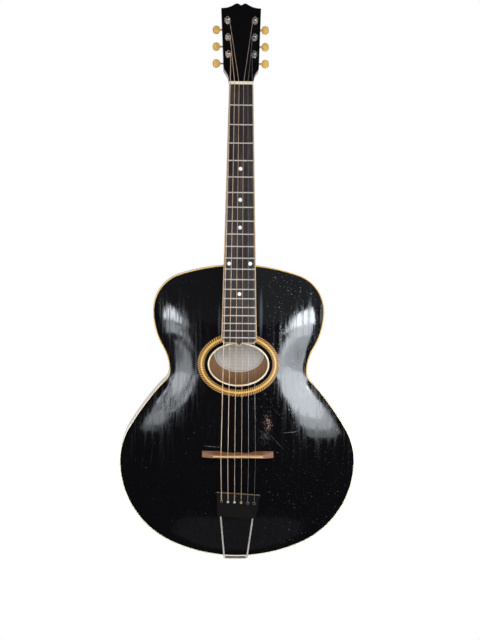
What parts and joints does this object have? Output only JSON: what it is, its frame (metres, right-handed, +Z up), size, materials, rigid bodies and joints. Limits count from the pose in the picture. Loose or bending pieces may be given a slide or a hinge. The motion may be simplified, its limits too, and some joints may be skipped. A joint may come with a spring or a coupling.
{
  "type": "archtop guitar",
  "caption": "Archtop acoustic guitar with an oval sound hole, floating bridge, trapeze tailpiece and geared tuners whose keys turn the string posts.",
  "frame": {"origin": "the middle of the neck's back where a wall hanger's yoke cradles it, under the peghead's shoulders", "axes": "+Z up along the hanging guitar's long axis, -Y out of the face with the strings, +X to the treble side"},
  "size_m": [0.402, 0.155, 0.951],
  "materials": {
    "black_lacquer": "gloss lacquer over spruce, fine wear",
    "stained_maple": "dark red-brown stain under gloss lacquer",
    "inner_spruce": "bare wood",
    "ebony": "satin, streaked",
    "rosewood": "satin",
    "ivoroid": "gloss, aged",
    "rosette_wood": "inlaid, lacquered",
    "label_paper": "aged, matte",
    "pearl": "pearl, polished",
    "bone": "polished bone",
    "fret_nickel": "polished nickel silver",
    "nickel": "nickel plate, slightly tarnished",
    "gear_brass": "satin, tarnished",
    "celluloid": "gloss, dark tortoise",
    "amber_celluloid": "gloss, aged amber",
    "wound_bronze": "wound wire",
    "plain_steel": "plain wire"
  },
  "bodies": {
    "guitar": {"back_plate": "stained_maple", "body_bindings": "ivoroid", "bracket_screws": "nickel", "bridge": "rosewood", "bridge_saddle": "bone", "fingerboard": "ebony", "fingerboard_binding": "ivoroid", "fingerboard_riser": "ebony", "frets": "fret_nickel", "left_rib": "stained_maple", "linings": "inner_spruce", "neck": "stained_maple", "neck_block": "inner_spruce", "nut": "bone", "paper_label": "label_paper", "peghead_veneer": "black_lacquer", "position_dots": "pearl", "right_rib": "stained_maple", "rosette_inlay": "rosette_wood", "soundhole_binding": "ivoroid", "string_a": "wound_bronze", "string_b": "plain_steel", "string_d": "wound_bronze", "string_g": "wound_bronze", "string_high_e": "plain_steel", "string_low_e": "wound_bronze", "tail_block": "inner_spruce", "tailpiece_bracket": "nickel", "tailpiece_frame": "nickel", "tailpiece_pins": "nickel", "tailpiece_plate": "celluloid", "top_plate": "black_lacquer", "transverse_brace": "inner_spruce", "tuner_bushings": "nickel", "tuner_plate_screws": "nickel", "tuner_plates": "nickel"},
    "low_e_key": {"button_low_e": "amber_celluloid", "worm_shaft_low_e": "nickel"},
    "low_e_winder": {"post_low_e": "nickel", "gear_low_e": "gear_brass"},
    "a_key": {"button_a": "amber_celluloid", "worm_shaft_a": "nickel"},
    "a_winder": {"post_a": "nickel", "gear_a": "gear_brass"},
    "d_key": {"button_d": "amber_celluloid", "worm_shaft_d": "nickel"},
    "d_winder": {"post_d": "nickel", "gear_d": "gear_brass"},
    "g_key": {"button_g": "amber_celluloid", "worm_shaft_g": "nickel"},
    "g_winder": {"post_g": "nickel", "gear_g": "gear_brass"},
    "b_key": {"button_b": "amber_celluloid", "worm_shaft_b": "nickel"},
    "b_winder": {"post_b": "nickel", "gear_b": "gear_brass"},
    "high_e_key": {"button_high_e": "amber_celluloid", "worm_shaft_high_e": "nickel"},
    "high_e_winder": {"post_high_e": "nickel", "gear_high_e": "gear_brass"}
  },
  "joints": [
    {"name": "low_e_key_turn", "type": "hinge", "parent": "guitar", "child": "low_e_key", "pos_m": [-0.0218, 0.02474, 0.02239], "axis": [1, 0, 0], "continuous": true},
    {"name": "low_e_winder_turn", "type": "hinge", "parent": "guitar", "child": "low_e_winder", "pos_m": [-0.0218, 0.00769, 0.03615], "axis": [0, 0.9537, -0.3007], "continuous": true},
    {"name": "a_key_turn", "type": "hinge", "parent": "guitar", "child": "a_key", "pos_m": [-0.0226, 0.03406, 0.05195], "axis": [1, 0, 0], "continuous": true},
    {"name": "a_winder_turn", "type": "hinge", "parent": "guitar", "child": "a_winder", "pos_m": [-0.0226, 0.01701, 0.06572], "axis": [0, 0.9537, -0.3007], "continuous": true},
    {"name": "d_key_turn", "type": "hinge", "parent": "guitar", "child": "d_key", "pos_m": [-0.0234, 0.04339, 0.08152], "axis": [1, 0, 0], "continuous": true},
    {"name": "d_winder_turn", "type": "hinge", "parent": "guitar", "child": "d_winder", "pos_m": [-0.0234, 0.02634, 0.09528], "axis": [0, 0.9537, -0.3007], "continuous": true},
    {"name": "g_key_turn", "type": "hinge", "parent": "guitar", "child": "g_key", "pos_m": [0.0234, 0.04339, 0.08152], "axis": [1, 0, 0], "continuous": true},
    {"name": "g_winder_turn", "type": "hinge", "parent": "guitar", "child": "g_winder", "pos_m": [0.0234, 0.02634, 0.09528], "axis": [0, 0.9537, -0.3007], "continuous": true},
    {"name": "b_key_turn", "type": "hinge", "parent": "guitar", "child": "b_key", "pos_m": [0.0226, 0.03406, 0.05195], "axis": [1, 0, 0], "continuous": true},
    {"name": "b_winder_turn", "type": "hinge", "parent": "guitar", "child": "b_winder", "pos_m": [0.0226, 0.01701, 0.06572], "axis": [0, 0.9537, -0.3007], "continuous": true},
    {"name": "high_e_key_turn", "type": "hinge", "parent": "guitar", "child": "high_e_key", "pos_m": [0.0218, 0.02474, 0.02239], "axis": [1, 0, 0], "continuous": true},
    {"name": "high_e_winder_turn", "type": "hinge", "parent": "guitar", "child": "high_e_winder", "pos_m": [0.0218, 0.00769, 0.03615], "axis": [0, 0.9537, -0.3007], "continuous": true}
  ],
  "couplings": [
    {"joint": "low_e_winder_turn", "follows": "low_e_key_turn", "ratio": 0.071429},
    {"joint": "a_winder_turn", "follows": "a_key_turn", "ratio": 0.071429},
    {"joint": "d_winder_turn", "follows": "d_key_turn", "ratio": 0.071429},
    {"joint": "g_winder_turn", "follows": "g_key_turn", "ratio": 0.071429},
    {"joint": "b_winder_turn", "follows": "b_key_turn", "ratio": 0.071429},
    {"joint": "high_e_winder_turn", "follows": "high_e_key_turn", "ratio": 0.071429}
  ]
}
